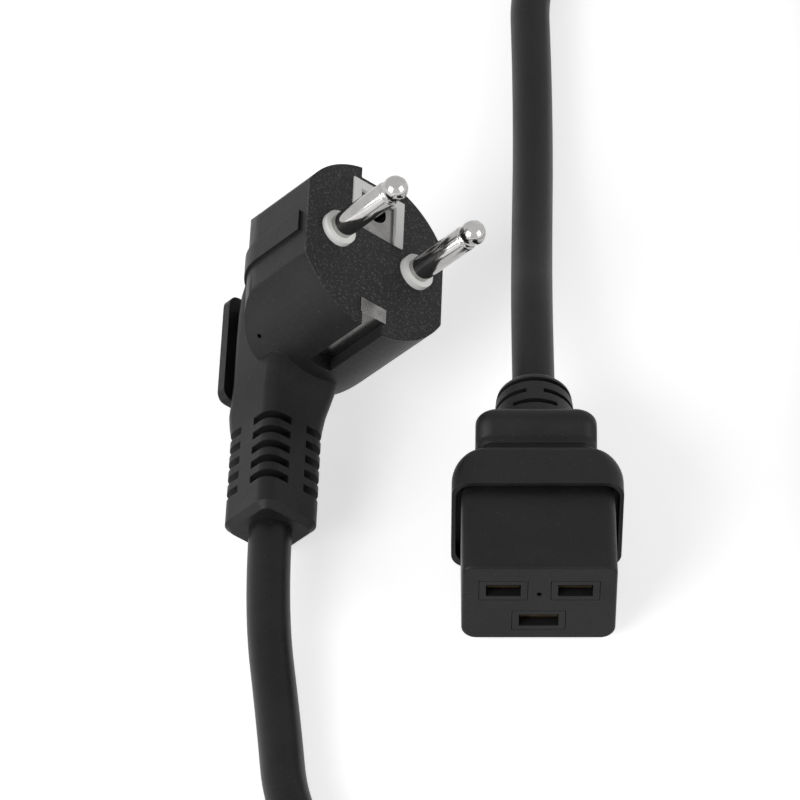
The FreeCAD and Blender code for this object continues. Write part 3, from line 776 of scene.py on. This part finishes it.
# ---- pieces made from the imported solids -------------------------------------
@dataclass(frozen=True)
class HoodForm:
    """The outer form of the hood and its grip, with sizes in metres."""

    front_y: float = -0.0072
    axis_z: float = 0.0114
    hood_width: float = 0.0314
    neck_width: float = 0.0224
    height: float = 0.0228
    corner: float = 0.0034
    straight: float = 0.003
    shoulder_length: float = 0.0065
    scoop_depth: float = 0.0028
    scoop_length: float = 0.009
    scoop_middle: float = 0.0127
    grip_length: float = 0.02
    lip_round: float = 0.0023
    cuts: int = 4
    near: float = 0.00004

    def half_sizes(self, y: float) -> tuple[float, float]:
        """Work out the form's section at a place along Y.

        Args:
            y: The place.

        Returns:
            Half its width and half its height.
        """
        distance = y - self.front_y
        share = min(1.0, max(0.0, (distance - self.straight) / self.shoulder_length))
        spread = (self.hood_width - self.neck_width) * math.sqrt(1.0 - share * share)
        away = min(1.0, abs(distance - self.scoop_middle) / (self.scoop_length / 2))
        scoop = self.scoop_depth * (1.0 + math.cos(math.pi * away)) / 2
        start = self.grip_length - self.lip_round
        turn = min(1.0, max(0.0, distance - start) / self.lip_round)
        inset = self.lip_round * (1.0 - math.sqrt(1.0 - turn * turn))
        return (self.neck_width + spread) / 2 - inset, self.height / 2 - scoop - inset

    def covers(self, place: Vector) -> bool:
        """Tell whether a point lies on the outer form.

        Args:
            place: The point.

        Returns:
            True on the form, and False inside, outside or beyond its ends.
        """
        distance = place.y - self.front_y
        if not -self.near < distance < self.grip_length + self.near:
            return False
        half_width, half_height = self.half_sizes(place.y)
        across = abs(place.x) - (half_width - self.corner)
        upward = abs(place.z - self.axis_z) - (half_height - self.corner)
        if across > 0 and upward > 0:
            reach = math.hypot(across, upward)
        else:
            reach = max(across, upward)
        return abs(reach - self.corner) < self.near

    def refine(self, shape: bmesh.types.BMesh) -> None:
        """Split the lofted bands and set the new points on the curved form.

        Args:
            shape: The merged mesh of the moulding.
        """
        outer = {vert for vert in shape.verts if self.covers(vert.co)}
        spans = [
            edge for edge in shape.edges
            if outer.issuperset(edge.verts)
            and abs(edge.verts[0].co.y - edge.verts[1].co.y) > self.near
        ]
        ends = {}
        for edge in spans:
            low, high = sorted((vert.co.copy() for vert in edge.verts), key=lambda co: co.y)
            ends[(round(low.y, 6), round(high.y, 6))] = (low.y, high.y)
        before = set(shape.verts)
        bmesh.ops.subdivide_edges(shape, edges=spans, cuts=self.cuts, use_grid_fill=True)
        for vert in shape.verts:
            if vert in before:
                continue
            for low, high in ends.values():
                if low < vert.co.y < high:
                    self.settle(vert, low, high)
                    break

    def settle(self, vert: bmesh.types.BMVert, low: float, high: float) -> None:
        """Move a point from the straight line between two stations to the curve.

        Args:
            vert: The point.
            low: The station before it along Y.
            high: The station after it.
        """
        share = (vert.co.y - low) / (high - low)
        sizes = zip(self.half_sizes(low), self.half_sizes(high), self.half_sizes(vert.co.y))
        wider, taller = (now - (first + (last - first) * share) for first, last, now in sizes)
        vert.co.x += math.copysign(wider, vert.co.x)
        vert.co.z += math.copysign(taller, vert.co.z - self.axis_z)


@dataclass(frozen=True)
class SoftSkin:
    """A moulded skin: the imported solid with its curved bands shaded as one."""

    node: str
    slot: str
    form: HoodForm | None = None
    sharp: float = 32.0
    weld: float = 0.000002
    flat: float = 0.05

    def build(self, frame: dict[str, Any], finish: bpy.types.Material) -> bpy.types.Object:
        """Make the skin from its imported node.

        Args:
            frame: The loaded frame.
            finish: The skin's material.

        Returns:
            The new piece.
        """
        shape = bmesh.new()
        shape.from_mesh(frame["nodes"][self.node].data)
        bmesh.ops.remove_doubles(shape, verts=shape.verts, dist=self.weld)
        bmesh.ops.dissolve_degenerate(shape, edges=shape.edges, dist=self.weld)
        bmesh.ops.dissolve_limit(
            shape, angle_limit=math.radians(self.flat), verts=shape.verts, edges=shape.edges
        )
        if self.form is not None:
            self.form.refine(shape)
        shade(shape, self.sharp)
        skin = piece_from(shape, f"{self.node}_skin", finish)
        even = skin.modifiers.new("even", "WEIGHTED_NORMAL")
        even.keep_sharp = True
        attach(skin, BODY)
        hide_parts(self.node)
        LOG.info("skinned %s", self.node)
        return skin


@dataclass(frozen=True)
class PlugPin:
    """A turned contact pin with a ball end, a neck and a shank."""

    node: str
    mount: str
    radius: float = 0.0024
    half_shaft: float = 0.00665
    tip_length: float = 0.0044
    neck_radius: float = 0.00214
    shank_radius: float = 0.0022
    shank_length: float = 0.0123
    crimp_radius: float = 0.00165
    crimp_length: float = 0.005
    soften: float = 0.00022
    lip_in: float = 0.3
    lip_up: float = 0.25
    ball_steps: int = 14
    turn_steps: int = 72
    sharp: float = 50.0
    weld: float = 0.0000005

    def profile(self) -> list[tuple[float, float]]:
        """Work out the pin's outline.

        Returns:
            Points of radius and distance, from the ball's end to the crimp.
        """
        centre = self.half_shaft + self.tip_length - self.radius
        last = math.pi - math.asin(self.neck_radius / self.radius)
        shank_end = -self.half_shaft - self.shank_length
        crimp_end = shank_end - self.crimp_length
        points = []
        for step in range(self.ball_steps + 1):
            turn = last * step / self.ball_steps
            points.append((self.radius * math.sin(turn), centre + self.radius * math.cos(turn)))
        points += [
            (self.neck_radius, self.half_shaft + self.soften),
            (self.radius - self.soften * self.lip_in, self.half_shaft + self.soften * self.lip_up),
            (self.radius, self.half_shaft - self.soften),
            (self.radius, -self.half_shaft),
            (self.shank_radius, -self.half_shaft),
            (self.shank_radius, shank_end),
            (self.crimp_radius, shank_end),
            (self.crimp_radius, crimp_end),
            (0.0, crimp_end),
        ]
        return points

    def build(self, frame: dict[str, Any], finish: bpy.types.Material) -> bpy.types.Object:
        """Turn the pin and set it on its mount.

        Args:
            frame: The loaded frame.
            finish: The pin's material.

        Returns:
            The new piece.
        """
        place, axis = mounted(frame, self.mount)
        shape = bmesh.new()
        line = [shape.verts.new((radius, 0.0, along)) for radius, along in self.profile()]
        edges = [shape.edges.new(pair) for pair in zip(line, line[1:])]
        bmesh.ops.spin(
            shape,
            geom=line + edges,
            axis=(0, 0, 1),
            cent=(0, 0, 0),
            angle=math.tau,
            steps=self.turn_steps,
            use_merge=True,
        )
        bmesh.ops.remove_doubles(shape, verts=shape.verts, dist=self.weld)
        bmesh.ops.recalc_face_normals(shape, faces=shape.faces)
        upright = axis.to_track_quat("Z", "Y").to_matrix().to_4x4()
        shape.transform(Matrix.Translation(place) @ upright)
        shade(shape, self.sharp)
        pin = piece_from(shape, f"{self.node}_turned", finish)
        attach(pin, BODY)
        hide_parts(self.node)
        LOG.info("turned %s", self.node)
        return pin


@dataclass
class CordSet:
    """The finishes, skins and pins of the cord set."""

    hood: SoftSkin = SoftSkin("connector_overmould", "moulding_black", HoodForm())
    plug: SoftSkin = SoftSkin("plug_overmould", "moulding_black")
    block: SoftSkin = SoftSkin("engagement_block", "block_black")
    pins: tuple[PlugPin, ...] = (
        PlugPin("pin_line", "line_pin"), PlugPin("pin_neutral", "neutral_pin"),
    )
    collar_proud: float = 0.0013
    riders: tuple[str, ...] = (
        "pin_bridge", "earth_strap", "earth_sleeve",
        "plug_core_line", "plug_core_neutral", "plug_core_earth",
    )

    def plug_finish(self, frame: dict[str, Any]) -> Moulding:
        """Return the plug's finish, whose face is spark textured, with painted glints on its pits.

        Args:
            frame: The loaded frame.

        Returns:
            The finish.
        """
        place, axis = mounted(frame, "line_pin")
        level = place.dot(axis) - PlugPin.half_shaft - self.collar_proud
        plain = MOULDING_BLACK
        return FacedMoulding(
            "plug black", plain.colour, plain.lift, roughness=plain.roughness,
            grain=plain.grain, gloss=plain.gloss, edge=plain.edge,
            axis=tuple(axis), level=level,
        )

    def build(self, frame: dict[str, Any]) -> list[bpy.types.Object]:
        """Dress every node and make the pieces that replace some.

        Args:
            frame: The loaded frame.

        Returns:
            The pieces and nodes that lie on the cord's far end.
        """
        made = {name: finish.material() for name, finish in FINISHES.items()}
        for part in frame["record"]["subparts"]:
            node, slot = part["node"], part["material_slot"]
            if slot in made:
                materials = frame["nodes"][node].data.materials
                materials.clear()
                materials.append(made[slot])
                LOG.info("dressed %s as %s", node, slot)
        self.hood.build(frame, made[self.hood.slot])
        plug = self.plug.build(frame, self.plug_finish(frame).material())
        self.block.build(frame, made[self.block.slot])
        pins = [pin.build(frame, made["pin_nickel"]) for pin in self.pins]
        return [*(frame["nodes"][name] for name in self.riders), plug, *pins]


def main() -> None:
    """Build the scene in order."""
    logging.basicConfig(level=logging.INFO)
    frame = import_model()
    block_low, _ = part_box("engagement_block")
    face = Vector((0, block_low[1], block_low[2]))
    studio = Studio()
    studio.camera(face)
    far_pieces = CordSet().build(frame)
    Cord().build(far_pieces)
    studio.floor()
    studio.lights()


if __name__ == "__main__":
    main()
